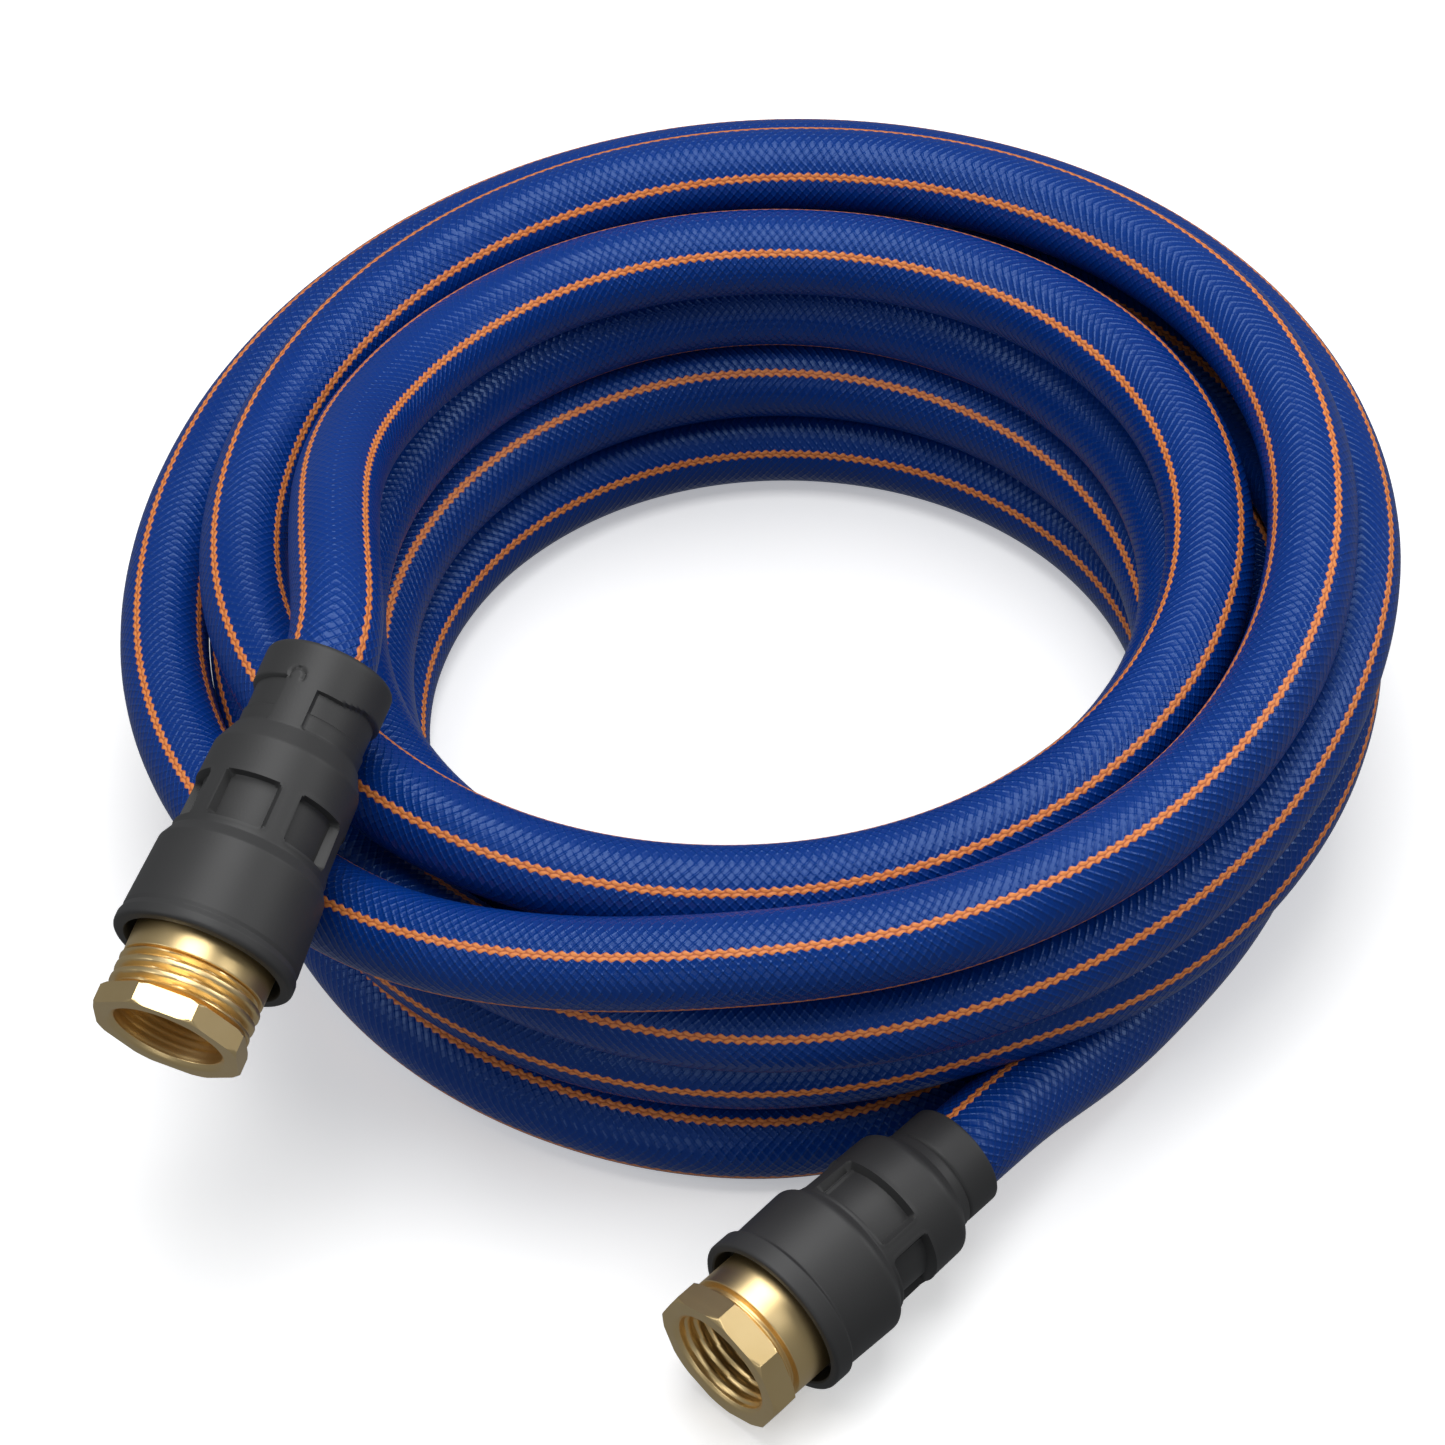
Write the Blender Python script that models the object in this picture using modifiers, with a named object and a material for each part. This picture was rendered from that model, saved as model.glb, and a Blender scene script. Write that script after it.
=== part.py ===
"""Coiled garden hose with a male and a female brass fitting in moulded grips.

Metres, +Z up. The floor is z = 0 and the origin is under the middle of the whole object.
"""

import math

import bmesh
import bpy
from mathutils import Matrix, Vector

MM = 0.001

# Clearance between pieces that touch
GAP = 0.3 * MM

# Hose
HOSE_RADIUS = 8.5 * MM
FLOOR_FLAT = 0.3 * MM
HOSE_ROUND_STEPS = 4
TROUGH_RADIUS = 9.7 * MM

# The coil: its centre on the floor, and the two turns that lie on the floor
COIL_CENTRE = Vector((0.62 * MM, 25.0 * MM, 0.0))
FLOOR_TURN_HEIGHT = HOSE_RADIUS - FLOOR_FLAT
FLOOR_TURN_RADIUS = 100.0 * MM
FLOOR_TURN_SPACING = 2.65 * HOSE_RADIUS

# Each higher turn's place from the turn below it, outwards and up, in hose radii
OUTER_STEPS = ((0.18, 2.09), (1.18, 2.12), (-1.24, 1.77))
INNER_STEPS = ((0.18, 2.03), (0.35, 2.0), (0.06, 2.07))
TURN_ARC_REACH = math.radians(55.0)
TURN_ARC_STEP = math.radians(28.0)
COIL_STEPS = 44

# Female end: where the hose enters its grip, outwards from the outer floor turn and around the
# coil, and how the grip's axis points. Its rim lies on the floor
FEMALE_MOUTH_OUT = 20.6 * MM
FEMALE_MOUTH_ROUND = math.radians(-75.1)
FEMALE_HEADING = math.radians(-136.6)
FEMALE_DIP = math.radians(2.3)
FEMALE_NUT_TURN = math.radians(132.4)
FEMALE_WINDOW_TURN = math.radians(87.9)

# Male end: the same from the inner top turn, and how high the mouth's centre stands over the
# outer top turn that the grip lies across
MALE_MOUTH_OUT = 11.8 * MM
MALE_MOUTH_ROUND = math.radians(213.2)
MALE_MOUTH_RISE = 2.2 * MM
MALE_HEADING = math.radians(-113.7)
MALE_DIP = math.radians(15.3)
MALE_COLLAR_TURN = math.radians(148.5)
MALE_WINDOW_TURN = math.radians(121.2)

# Route of the hose from the outer floor turn to the female grip: outwards from that turn, around
# the coil, and height of the hose's axis over that turn's
LEAD_ARC_START = math.radians(14.0)
LEAD_ARC_END = math.radians(-8.0)
LEAD_ROUTE = (
    (1.3 * MM, math.radians(-17.8), 0.1 * MM),
    (0.4 * MM, math.radians(-28.5), 0.4 * MM),
    (1.1 * MM, math.radians(-43.4), 1.7 * MM),
    (6.9 * MM, math.radians(-60.3), 5.9 * MM),
)

# Route of the hose from the inner top turn to the male grip, given in the same way
TAIL_ARC_START = math.radians(108.0)
TAIL_ARC_END = math.radians(126.0)
TAIL_ROUTE = (
    (-2.0 * MM, math.radians(151.8), 4.5 * MM),
    (-2.1 * MM, math.radians(172.9), 13.0 * MM),
    (0.5 * MM, math.radians(193.9), 22.5 * MM),
)
ARC_POINTS = 5
SPAN_POINTS = 3

# Both grips: where the hose's end seats, how far it runs straight ahead of the mouth, the bores,
# the recess around the brass and the depth of the windows
HOSE_SEAT = 30.0 * MM
STRAIGHT_RUN = 3.5 * MM
HOSE_BORE = HOSE_RADIUS + GAP
SHANK_RADIUS = 10.0 * MM
WATERWAY_RADIUS = 5.0 * MM
RECESS_DEPTH = 2.6 * MM
WINDOW_DEPTH = 1.5 * MM
EDGE = 0.8 * MM
GRIP_STEPS = 40

# Male grip, measured along its axis from the mouth where the hose enters
MALE_COLLAR_RADIUS = 12.2 * MM
MALE_COLLAR_END = 7.9 * MM
MALE_NECK_RADIUS = 11.6 * MM
MALE_NECK_END = 17.1 * MM
MALE_BODY_RADIUS = 14.3 * MM
MALE_BODY_START = 21.3 * MM
MALE_BODY_END = 39.9 * MM
MALE_BARREL_RADIUS = 16.2 * MM
MALE_BARREL_END = 56.1 * MM
MALE_RIM_RADIUS = 17.2 * MM
MALE_GRIP_END = 60.5 * MM
MALE_WINDOW_START = 24.6 * MM
MALE_WINDOW_END = 33.4 * MM
MALE_WINDOW_WIDTH = 10.4 * MM
MALE_WINDOWS = 6

# Male fitting
MALE_BAND_START = 54.0 * MM
MALE_BAND_RADIUS = 13.3 * MM
MALE_THREAD_RADIUS = 13.5 * MM
MALE_THREAD_ROOT = 12.3 * MM
MALE_THREAD_PITCH = 2.3 * MM
MALE_THREAD_CREST = 0.9 * MM
MALE_THREAD_RIDGES = 3
MALE_END_COLLAR = 4.2 * MM
MALE_END_COLLAR_APOTHEM = 13.6 * MM
MALE_LENGTH = 76.5 * MM
MALE_BORE = 10.4 * MM
MALE_BORE_DEPTH = 11.0 * MM
MALE_THROAT = 8.0 * MM
MALE_THROAT_DEPTH = 9.0 * MM

# Female grip
FEMALE_COLLAR_RADIUS = 10.4 * MM
FEMALE_SEAM = 6.5 * MM
FEMALE_SEAM_DEPTH = 0.4 * MM
FEMALE_COLLAR_END = 9.5 * MM
FEMALE_BODY_RADIUS = 13.6 * MM
FEMALE_BODY_START = 11.2 * MM
FEMALE_BODY_END = 29.5 * MM
FEMALE_BARREL_RADIUS = 15.6 * MM
FEMALE_BARREL_END = 44.7 * MM
FEMALE_RIM_RADIUS = 16.4 * MM
FEMALE_GRIP_END = 49.0 * MM
FEMALE_WINDOW_START = 17.6 * MM
FEMALE_WINDOW_END = 26.0 * MM
FEMALE_WINDOW_WIDTH = 15.0 * MM
FEMALE_WINDOWS = 4

# Swivel nut
NUT_BACK = 43.5 * MM
NUT_LIP = 2.4 * MM
NUT_BAND_RADIUS = 12.9 * MM
NUT_BAND_END = 55.3 * MM
NUT_GROOVE_RADIUS = 11.7 * MM
NUT_FLATS_START = 56.7 * MM
NUT_APOTHEM = 13.5 * MM
NUT_END = 62.5 * MM
NUT_SOCKET = 10.3 * MM
NUT_RUNNING_GAP = 0.4 * MM

# Tailpiece of the female end, and the washer on its flange
TAILPIECE_SHANK_END = 42.9 * MM
TAILPIECE_NECK_RADIUS = 7.6 * MM
TAILPIECE_FLANGE_RADIUS = 9.8 * MM
TAILPIECE_FLANGE = 1.6 * MM
WASHER_RADIUS = 9.9 * MM
WASHER_HOLE = 5.6 * MM
WASHER_THICKNESS = 2.4 * MM

SIDES = 8
CORNER_STOCK = 0.4 * MM
CUTTER_STOCK = 4.0 * MM
CHAMFER = 0.8 * MM
FITTING_STEPS = 40
SMOOTH_ANGLE = math.radians(32.0)


def make_collection(name, parent):
    """Add a collection to the scene."""
    collection = bpy.data.collections.new(name)
    parent.children.link(collection)
    return collection


def make_material(name, colour, roughness, metallic=0.0):
    """Add a Principled material."""
    material = bpy.data.materials.new(name)
    material.use_nodes = True
    shader = material.node_tree.nodes["Principled BSDF"]
    shader.inputs["Base Color"].default_value = (*colour, 1.0)
    shader.inputs["Roughness"].default_value = roughness
    shader.inputs["Metallic"].default_value = metallic
    return material


def add_object(name, data, collection, material=None, parent=None):
    """Add an object, with its material and its parent."""
    obj = bpy.data.objects.new(name, data)
    collection.objects.link(obj)
    if material is not None:
        data.materials.append(material)
    obj.parent = parent
    return obj


def cut(obj, cutter, name):
    """Cut one object with another, which is then only shown as wire."""
    cutter.hide_render = True
    cutter.display_type = "WIRE"
    boolean = obj.modifiers.new(name, "BOOLEAN")
    boolean.operation = "DIFFERENCE"
    boolean.solver = "EXACT"
    boolean.object = cutter


def turned(name, profile, steps, collection, material=None, parent=None):
    """Turn a closed profile of (radius, height) points about Z.

    The profile runs down the outer side and back up the inner side.
    """
    mesh = bpy.data.meshes.new(name)
    points = [(radius, 0.0, height) for radius, height in profile]
    edges = [(i, (i + 1) % len(points)) for i in range(len(points))]
    mesh.from_pydata(points, edges, [])
    obj = add_object(name, mesh, collection, material, parent)
    screw = obj.modifiers.new("Turn", "SCREW")
    screw.steps = steps
    screw.render_steps = steps
    screw.use_merge_vertices = True
    screw.merge_threshold = 0.01 * MM
    screw.use_smooth_shade = True
    return obj


def climb(first, steps):
    """Turns of one side of the section, from the one on the floor up."""
    turns = [first]
    for outwards, up in steps:
        radius, height = turns[-1]
        turns.append((radius + outwards * HOSE_RADIUS, height + up * HOSE_RADIUS))
    return turns


def coil_turns():
    """Radius and height of every turn: down the outer side, then up the inner side."""
    inner = FLOOR_TURN_RADIUS - FLOOR_TURN_SPACING
    outer_side = climb((FLOOR_TURN_RADIUS, FLOOR_TURN_HEIGHT), OUTER_STEPS)
    inner_side = climb((inner, FLOOR_TURN_HEIGHT), INNER_STEPS)
    return outer_side[::-1] + inner_side


def around(radius, angle, height):
    """Point at a radius, angle and height about the coil's axis."""
    return Vector((radius * math.cos(angle), radius * math.sin(angle), height))


def female_mouth():
    """Centre of the female grip's mouth, at the height that sets its rim down on the floor."""
    height = FEMALE_RIM_RADIUS + GAP + FEMALE_GRIP_END * math.sin(FEMALE_DIP)
    return around(FLOOR_TURN_RADIUS + FEMALE_MOUTH_OUT, FEMALE_MOUTH_ROUND, height)


def male_mouth():
    """Centre of the male grip's mouth, at the height that clears the outer top turn."""
    turns = coil_turns()
    height = turns[0][1] + HOSE_RADIUS + MALE_BODY_RADIUS + MALE_MOUTH_RISE
    return around(turns[-1][0] + MALE_MOUTH_OUT, MALE_MOUTH_ROUND, height)


def direction_angle(start, end):
    """Angle of the line from one (radius, height) point to another."""
    return math.atan2(end[1] - start[1], end[0] - start[0])


def turn_arc(centre, start, sweep):
    """Points of one turn's arc, from the start angle down through the sweep."""
    count = max(1, round(sweep / TURN_ARC_STEP))
    angles = [start - sweep * k / count for k in range(count + 1)]
    return [
        (centre[0] + HOSE_RADIUS * math.cos(a), centre[1] + HOSE_RADIUS * math.sin(a))
        for a in angles
    ]


def coil_section():
    """Closed outline of the coil's section: an arc for each turn and a floor in each valley.

    The turns that lie on the floor are cut flat there.
    """
    turns = coil_turns()
    down = -math.pi / 2
    flat = math.acos(FLOOR_TURN_HEIGHT / HOSE_RADIUS)
    outline = []
    for i, centre in enumerate(turns):
        entry = direction_angle(turns[i - 1], centre)
        leave = direction_angle(centre, turns[(i + 1) % len(turns)])
        start = entry + math.pi / 2 + TURN_ARC_REACH
        end = leave + math.pi / 2 - TURN_ARC_REACH
        sweep = (start - end) % (2.0 * math.pi)
        if centre[1] > FLOOR_TURN_HEIGHT:
            outline += turn_arc(centre, start, sweep)
            continue
        to_flat = (start - down - flat) % (2.0 * math.pi)
        from_flat = sweep - to_flat - 2.0 * flat
        outline += turn_arc(centre, start, to_flat)
        outline += turn_arc(centre, down - flat, from_flat)
    return outline


def arc_points(radius, height, start, end):
    """Points along a level arc about the coil's axis."""
    angles = [start + (end - start) * k / (ARC_POINTS - 1) for k in range(ARC_POINTS)]
    return [around(radius, angle, height) for angle in angles]


def smooth_span(before, start, end, after):
    """Points of a smooth curve from one route point up to the next."""
    leave = (end - before) / 2.0
    arrive = (after - start) / 2.0
    points = []
    for k in range(SPAN_POINTS):
        t = k / SPAN_POINTS
        points.append(
            start * (2.0 * t**3 - 3.0 * t**2 + 1.0)
            + leave * (t**3 - 2.0 * t**2 + t)
            + end * (3.0 * t**2 - 2.0 * t**3)
            + arrive * (t**3 - t**2)
        )
    return points


def hose_route(turn, start, end, route, mouth, axis):
    """Centre line of a free end: along its turn, a smooth run, and straight into the grip."""
    radius, height = turn
    arc = arc_points(radius, height, start, end)
    run = [around(radius + out, angle, height + up) for out, angle, up in route]
    seat = mouth + axis * (HOSE_SEAT - GAP)
    straight = mouth - axis * STRAIGHT_RUN
    knots = [arc[-2], arc[-1], *run, straight, seat]
    points = list(arc[:-1])
    for i in range(1, len(knots) - 2):
        points += smooth_span(knots[i - 1], knots[i], knots[i + 1], knots[i + 2])
    points += [straight, (straight + seat) / 2.0, seat]
    return [COIL_CENTRE + point for point in points]


def tube(name, points, radius, collection, material=None):
    """A round tube of solid section along a line of points."""
    curve = bpy.data.curves.new(name, "CURVE")
    curve.dimensions = "3D"
    curve.bevel_depth = radius
    curve.bevel_resolution = HOSE_ROUND_STEPS
    curve.use_fill_caps = True
    spline = curve.splines.new("POLY")
    spline.points.add(len(points) - 1)
    for spot, point in zip(spline.points, points):
        spot.co = (*point, 1.0)
    obj = add_object(name + "_line", curve, collection)
    bpy.context.view_layer.update()
    depsgraph = bpy.context.evaluated_depsgraph_get()
    mesh = bpy.data.meshes.new_from_object(obj.evaluated_get(depsgraph))
    mesh.name = name
    placed = obj.matrix_world.copy()
    bpy.data.objects.remove(obj)
    shape = bmesh.new()
    shape.from_mesh(mesh)
    bmesh.ops.remove_doubles(shape, verts=shape.verts, dist=0.01 * MM)
    bmesh.ops.recalc_face_normals(shape, faces=shape.faces)
    shape.to_mesh(mesh)
    shape.free()
    mesh.materials.clear()
    piece = add_object(name, mesh, collection, material)
    piece.matrix_world = placed
    return piece


def smooth(obj):
    """Shade round faces smooth and keep real edges sharp."""
    bpy.context.view_layer.update()
    depsgraph = bpy.context.evaluated_depsgraph_get()
    mesh = bpy.data.meshes.new_from_object(obj.evaluated_get(depsgraph))
    mesh.name = obj.name
    obj.modifiers.clear()
    obj.data = mesh
    mesh.shade_smooth()
    mesh.set_sharp_from_angle(angle=SMOOTH_ANGLE)


def end_frame(name, mouth, heading, dip, collection):
    """Empty at the mouth of a grip with +Z along the fitting's axis, away from the hose."""
    frame = bpy.data.objects.new(name, None)
    collection.objects.link(frame)
    frame.matrix_world = (
        Matrix.Translation(COIL_CENTRE + mouth)
        @ Matrix.Rotation(heading, 4, "Z")
        @ Matrix.Rotation(math.pi / 2.0 + dip, 4, "Y")
    )
    return frame


def sides_cutter(name, apothem, start, end, turn, collection, parent):
    """Ring with an eight-sided hole, for cutting flats on a turned piece."""
    inner = apothem / math.cos(math.pi / SIDES)
    outer = inner + CUTTER_STOCK
    profile = ((outer, end), (outer, start), (inner, start), (inner, end))
    ring = turned(name, profile, SIDES, collection, parent=parent)
    ring.rotation_euler[2] = turn
    return ring


def window_cutter(name, floor, width, start, end, count, turn, collection, parent):
    """Blocks set evenly around the axis, one for each window."""
    shape = bmesh.new()
    for k in range(count):
        placed = (
            Matrix.Rotation(turn + 2.0 * math.pi * k / count, 4, "Z")
            @ Matrix.Translation((floor + CUTTER_STOCK / 2.0, 0.0, (start + end) / 2.0))
            @ Matrix.Diagonal((CUTTER_STOCK, width, end - start, 1.0))
        )
        bmesh.ops.create_cube(shape, size=1.0, matrix=placed)
    mesh = bpy.data.meshes.new(name)
    shape.to_mesh(mesh)
    shape.free()
    return add_object(name, mesh, collection, parent=parent)


def male_grip_profile():
    """Section of the male grip."""
    band_bore = MALE_BAND_RADIUS + GAP
    recess = (band_bore + MALE_BARREL_RADIUS) / 2.0
    return (
        (MALE_RIM_RADIUS - EDGE, MALE_GRIP_END),
        (MALE_RIM_RADIUS, MALE_GRIP_END - EDGE),
        (MALE_RIM_RADIUS, MALE_BARREL_END),
        (MALE_BARREL_RADIUS, MALE_BARREL_END - EDGE),
        (MALE_BARREL_RADIUS, MALE_BODY_END + EDGE),
        (MALE_BARREL_RADIUS - EDGE, MALE_BODY_END),
        (MALE_BODY_RADIUS, MALE_BODY_END),
        (MALE_BODY_RADIUS, MALE_BODY_START + EDGE),
        (MALE_BODY_RADIUS - EDGE, MALE_BODY_START),
        (MALE_NECK_RADIUS, MALE_NECK_END),
        (MALE_NECK_RADIUS, MALE_COLLAR_END),
        (MALE_COLLAR_RADIUS, MALE_COLLAR_END - EDGE / 2.0),
        (MALE_COLLAR_RADIUS, 2.0 * EDGE),
        (MALE_COLLAR_RADIUS - 2.0 * EDGE, 0.0),
        (HOSE_BORE, 0.0),
        (HOSE_BORE, HOSE_SEAT - GAP),
        (SHANK_RADIUS + GAP, HOSE_SEAT - GAP),
        (SHANK_RADIUS + GAP, MALE_BAND_START - GAP),
        (band_bore, MALE_BAND_START - GAP),
        (band_bore, MALE_GRIP_END - RECESS_DEPTH),
        (recess, MALE_GRIP_END - RECESS_DEPTH),
        (recess, MALE_GRIP_END),
    )


def male_fitting_profile():
    """Section of the male fitting: end collar, thread ridges, band, shank, and its waterway."""
    corner = MALE_END_COLLAR_APOTHEM / math.cos(math.pi / SIDES) + CORNER_STOCK
    flank = (MALE_THREAD_PITCH - MALE_THREAD_CREST) / 4.0
    collar_start = MALE_LENGTH - MALE_END_COLLAR
    profile = [
        (corner, MALE_LENGTH),
        (corner, collar_start),
        (MALE_THREAD_ROOT, collar_start),
    ]
    ridge = collar_start - GAP
    for _ in range(MALE_THREAD_RIDGES):
        profile.append((MALE_THREAD_ROOT, ridge))
        profile.append((MALE_THREAD_RADIUS, ridge - flank))
        profile.append((MALE_THREAD_RADIUS, ridge - flank - MALE_THREAD_CREST))
        profile.append((MALE_THREAD_ROOT, ridge - 2.0 * flank - MALE_THREAD_CREST))
        ridge -= MALE_THREAD_PITCH
    bore_end = MALE_LENGTH - MALE_BORE_DEPTH
    throat_end = bore_end - MALE_THROAT_DEPTH
    profile += [
        (MALE_THREAD_ROOT, ridge),
        (MALE_BAND_RADIUS, ridge),
        (MALE_BAND_RADIUS, MALE_BAND_START),
        (SHANK_RADIUS, MALE_BAND_START),
        (SHANK_RADIUS, HOSE_SEAT),
        (WATERWAY_RADIUS, HOSE_SEAT),
        (WATERWAY_RADIUS, throat_end),
        (MALE_THROAT, throat_end),
        (MALE_THROAT, bore_end),
        (MALE_BORE, bore_end),
        (MALE_BORE, MALE_LENGTH - CHAMFER),
        (MALE_BORE + CHAMFER, MALE_LENGTH),
    ]
    return profile


def female_grip_profile():
    """Section of the female grip, with the chamber the nut's back turns in."""
    chamber = NUT_BAND_RADIUS + NUT_RUNNING_GAP
    chamber_floor = NUT_BACK - NUT_RUNNING_GAP
    recess = (chamber + FEMALE_BARREL_RADIUS) / 2.0
    seam = FEMALE_COLLAR_RADIUS - FEMALE_SEAM_DEPTH
    return (
        (FEMALE_RIM_RADIUS - EDGE, FEMALE_GRIP_END),
        (FEMALE_RIM_RADIUS, FEMALE_GRIP_END - EDGE),
        (FEMALE_RIM_RADIUS, FEMALE_BARREL_END),
        (FEMALE_BARREL_RADIUS, FEMALE_BARREL_END - EDGE),
        (FEMALE_BARREL_RADIUS, FEMALE_BODY_END + EDGE),
        (FEMALE_BARREL_RADIUS - EDGE, FEMALE_BODY_END),
        (FEMALE_BODY_RADIUS, FEMALE_BODY_END),
        (FEMALE_BODY_RADIUS, FEMALE_BODY_START + EDGE),
        (FEMALE_BODY_RADIUS - EDGE, FEMALE_BODY_START),
        (FEMALE_COLLAR_RADIUS, FEMALE_COLLAR_END),
        (FEMALE_COLLAR_RADIUS, FEMALE_SEAM + FEMALE_SEAM_DEPTH),
        (seam, FEMALE_SEAM),
        (FEMALE_COLLAR_RADIUS, FEMALE_SEAM - FEMALE_SEAM_DEPTH),
        (FEMALE_COLLAR_RADIUS, EDGE),
        (FEMALE_COLLAR_RADIUS - EDGE, 0.0),
        (HOSE_BORE, 0.0),
        (HOSE_BORE, HOSE_SEAT - GAP),
        (SHANK_RADIUS + GAP, HOSE_SEAT - GAP),
        (SHANK_RADIUS + GAP, chamber_floor),
        (chamber, chamber_floor),
        (chamber, FEMALE_GRIP_END - RECESS_DEPTH),
        (recess, FEMALE_GRIP_END - RECESS_DEPTH),
        (recess, FEMALE_GRIP_END),
    )


def swivel_nut_profile():
    """Section of the nut: eight-sided end, groove, band, inner lip and open socket."""
    corner = NUT_APOTHEM / math.cos(math.pi / SIDES) + CORNER_STOCK
    lip_hole = TAILPIECE_NECK_RADIUS + NUT_RUNNING_GAP
    return (
        (corner, NUT_END),
        (corner, NUT_FLATS_START),
        (NUT_GROOVE_RADIUS, NUT_FLATS_START),
        (NUT_GROOVE_RADIUS, NUT_BAND_END),
        (NUT_BAND_RADIUS, NUT_BAND_END),
        (NUT_BAND_RADIUS, NUT_BACK),
        (lip_hole, NUT_BACK),
        (lip_hole, NUT_BACK + NUT_LIP),
        (NUT_SOCKET, NUT_BACK + NUT_LIP),
        (NUT_SOCKET, NUT_END - CHAMFER),
        (NUT_SOCKET + CHAMFER, NUT_END),
    )


def flange_back():
    """Where the back of the tailpiece's flange stands."""
    return NUT_BACK + NUT_LIP + NUT_RUNNING_GAP


def tailpiece_profile():
    """Section of the tailpiece: flange, neck through the nut's lip, and shank in the grip."""
    back = flange_back()
    return (
        (TAILPIECE_FLANGE_RADIUS, back + TAILPIECE_FLANGE),
        (TAILPIECE_FLANGE_RADIUS, back),
        (TAILPIECE_NECK_RADIUS, back),
        (TAILPIECE_NECK_RADIUS, TAILPIECE_SHANK_END),
        (SHANK_RADIUS, TAILPIECE_SHANK_END),
        (SHANK_RADIUS, HOSE_SEAT),
        (WATERWAY_RADIUS, HOSE_SEAT),
        (WATERWAY_RADIUS, back + TAILPIECE_FLANGE),
    )


def washer_profile():
    """Section of the washer."""
    start = flange_back() + TAILPIECE_FLANGE + GAP
    end = start + WASHER_THICKNESS
    return ((WASHER_RADIUS, end), (WASHER_RADIUS, start), (WASHER_HOLE, start), (WASHER_HOLE, end))


def build_hose(hose, cutters, female_axis, male_axis, blue):
    """The coil and the two free ends, which lie in troughs of the coil."""
    coil = turned("hose_coil", coil_section(), COIL_STEPS, hose, blue)
    coil.location = COIL_CENTRE
    floor_turn = (FLOOR_TURN_RADIUS, HOSE_RADIUS)
    top_turn = coil_turns()[-1]
    lead = hose_route(
        floor_turn, LEAD_ARC_START, LEAD_ARC_END, LEAD_ROUTE, female_mouth(), female_axis
    )
    tail = hose_route(
        top_turn, TAIL_ARC_START, TAIL_ARC_END, TAIL_ROUTE, male_mouth(), male_axis
    )
    for name, points in (("hose_lead_female", lead), ("hose_tail_male", tail)):
        smooth(tube(name, points, HOSE_RADIUS, hose, blue))
        backed = points[0] + (points[0] - points[1]).normalized() * GAP
        trough = tube(name + "_trough", [backed, *points[1:]], TROUGH_RADIUS, cutters)
        cut(coil, trough, name)
    smooth(coil)


def build_male_end(ends, cutters, frame, grip_plastic, brass):
    """The male grip and the fitting in it."""
    grip = turned("male_grip", male_grip_profile(), GRIP_STEPS, ends, grip_plastic, frame)
    windows = window_cutter(
        "male_windows", MALE_BODY_RADIUS - WINDOW_DEPTH, MALE_WINDOW_WIDTH,
        MALE_WINDOW_START, MALE_WINDOW_END, MALE_WINDOWS, MALE_WINDOW_TURN, cutters, frame,
    )
    cut(grip, windows, "Windows")
    smooth(grip)
    fitting = turned("male_fitting", male_fitting_profile(), FITTING_STEPS, ends, brass, frame)
    flats = sides_cutter(
        "male_collar_flats", MALE_END_COLLAR_APOTHEM, MALE_LENGTH - MALE_END_COLLAR - GAP / 2.0,
        MALE_LENGTH + CHAMFER, MALE_COLLAR_TURN, cutters, frame,
    )
    cut(fitting, flats, "Flats")
    smooth(fitting)


def build_female_end(ends, cutters, frame, grip_plastic, brass, rubber):
    """The female grip, the tailpiece in it, and the nut and washer the tailpiece holds."""
    grip = turned("female_grip", female_grip_profile(), GRIP_STEPS, ends, grip_plastic, frame)
    windows = window_cutter(
        "female_windows", FEMALE_BODY_RADIUS - WINDOW_DEPTH, FEMALE_WINDOW_WIDTH,
        FEMALE_WINDOW_START, FEMALE_WINDOW_END, FEMALE_WINDOWS, FEMALE_WINDOW_TURN, cutters, frame,
    )
    cut(grip, windows, "Windows")
    smooth(grip)
    nut = turned("swivel_nut", swivel_nut_profile(), FITTING_STEPS, ends, brass, frame)
    flats = sides_cutter(
        "nut_flats", NUT_APOTHEM, NUT_FLATS_START - GAP / 2.0,
        NUT_END + CHAMFER, FEMALE_NUT_TURN, cutters, frame,
    )
    cut(nut, flats, "Flats")
    smooth(nut)
    tailpiece = turned(
        "female_tailpiece", tailpiece_profile(), FITTING_STEPS, ends, brass, frame
    )
    smooth(tailpiece)
    washer = turned("hose_washer", washer_profile(), FITTING_STEPS, ends, rubber, frame)
    smooth(washer)


def build():
    """Build the whole object."""
    for obj in list(bpy.data.objects):
        bpy.data.objects.remove(obj)
    whole = make_collection("garden_hose", bpy.context.scene.collection)
    hose = make_collection("hose", whole)
    ends = make_collection("ends", whole)
    cutters = make_collection("cutters", bpy.context.scene.collection)
    blue = make_material("hose_blue", (0.02, 0.06, 0.42), 0.45)
    grip_plastic = make_material("grip_charcoal", (0.03, 0.032, 0.036), 0.55)
    brass = make_material("brass", (0.8, 0.6, 0.26), 0.28, 1.0)
    rubber = make_material("washer_rubber", (0.015, 0.015, 0.016), 0.7)
    male = end_frame("male_end", male_mouth(), MALE_HEADING, MALE_DIP, ends)
    female = end_frame("female_end", female_mouth(), FEMALE_HEADING, FEMALE_DIP, ends)
    male_axis = male.matrix_world.to_3x3().col[2].normalized()
    female_axis = female.matrix_world.to_3x3().col[2].normalized()
    build_hose(hose, cutters, female_axis, male_axis, blue)
    build_male_end(ends, cutters, male, grip_plastic, brass)
    build_female_end(ends, cutters, female, grip_plastic, brass, rubber)


build()
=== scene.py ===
"""Coiled garden hose on a pale floor, with a brass fitting in a moulded grip on each end."""

import math

import bmesh
import bpy
import numpy as np
from mathutils import Matrix, Vector

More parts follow.
